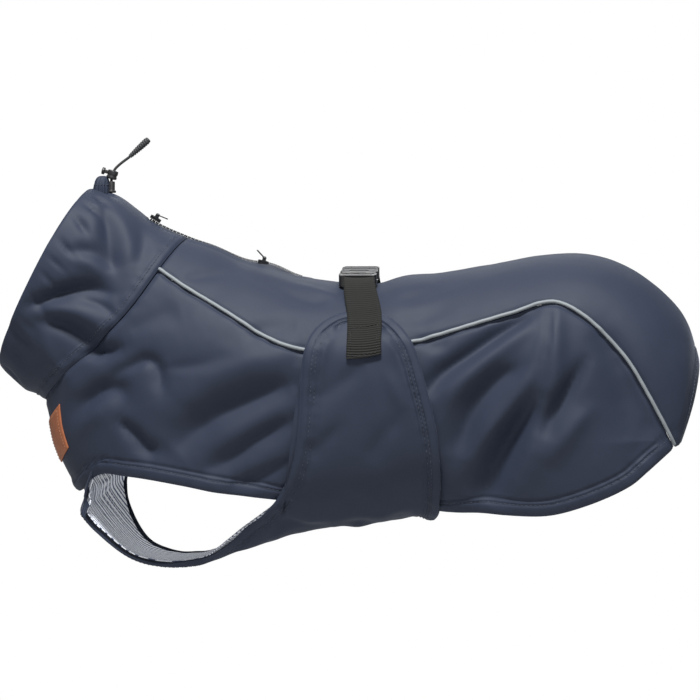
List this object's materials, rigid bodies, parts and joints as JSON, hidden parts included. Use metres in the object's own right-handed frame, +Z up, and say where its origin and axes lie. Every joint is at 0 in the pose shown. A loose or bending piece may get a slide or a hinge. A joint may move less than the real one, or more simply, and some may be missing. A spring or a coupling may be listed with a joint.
{
  "type": "dog raincoat",
  "caption": "Hollow fitted rain coat for a dog with a raised zipped collar, open leg holes, a belly panel with wrap-over flaps and a webbing strap with a side-release buckle over the back.",
  "frame": {"origin": "underside of the back's cloth on the middle line under the buckle, where the coat rests on the wearer's back", "axes": "+X towards the tail, +Y towards the far side (the side away from the label), +Z up out of the back"},
  "size_m": [0.509, 0.1793, 0.3143],
  "materials": {
    "shell_cloth": "tightly woven coated polyester with a soft satin sheen, navy",
    "striped_lining": "light grey polyester lining with fine navy stripes",
    "reflective_piping": "light grey retroreflective piping",
    "webbing": "black ribbed woven webbing",
    "label_leather": "bare tan imitation leather, matt",
    "zip_teeth": "black moulded zip teeth on black tape",
    "zip_metal": "black enamelled metal",
    "buckle_plastic": "black moulded plastic, satin",
    "cord_hardware": "black moulded plastic",
    "cord_grip": "black ribbed soft plastic",
    "drawcord": "black round braided cord"
  },
  "bodies": {
    "coat": {"back_panel": "shell_cloth", "side_panel_near_front": "shell_cloth", "side_panel_near_rear": "shell_cloth", "side_panel_far_front": "shell_cloth", "side_panel_far_rear": "shell_cloth", "piping_near": "reflective_piping", "piping_far": "reflective_piping", "webbing_near": "webbing", "webbing_far": "webbing", "collar": "shell_cloth", "belly_panel": "shell_cloth", "belly_lining": "striped_lining", "label": "label_leather", "zip_chain": "zip_teeth", "zip_slider_nape": "zip_metal", "zip_slider_withers": "zip_metal", "buckle_socket": "buckle_plastic", "buckle_plug": "buckle_plastic", "nape_tab": "shell_cloth", "cord_eyelet": "cord_hardware", "drawcord": "drawcord", "cord_lock": "cord_hardware", "cord_grip": "cord_grip"},
    "nape_pull": {"zip_pull_nape": "zip_metal"},
    "withers_pull": {"zip_pull_withers": "zip_metal"},
    "lock_button": {"cord_lock_plunger": "cord_hardware"}
  },
  "joints": [
    {"name": "nape_pull_hinge", "type": "hinge", "parent": "coat", "child": "nape_pull", "pos_m": [-0.1487, 0, 0.05268], "axis": [0, -1, 0], "range_deg": [-22, 160]},
    {"name": "withers_pull_hinge", "type": "hinge", "parent": "coat", "child": "withers_pull", "pos_m": [-0.06998, 0, 0.021], "axis": [0, -1, 0], "range_deg": [-160, 50]},
    {"name": "lock_button_slide", "type": "slide", "parent": "coat", "child": "lock_button", "axis": [0.9611, 0, -0.2764], "range_m": [0, 0.0012], "stiffness_N_per_m": 120}
  ]
}
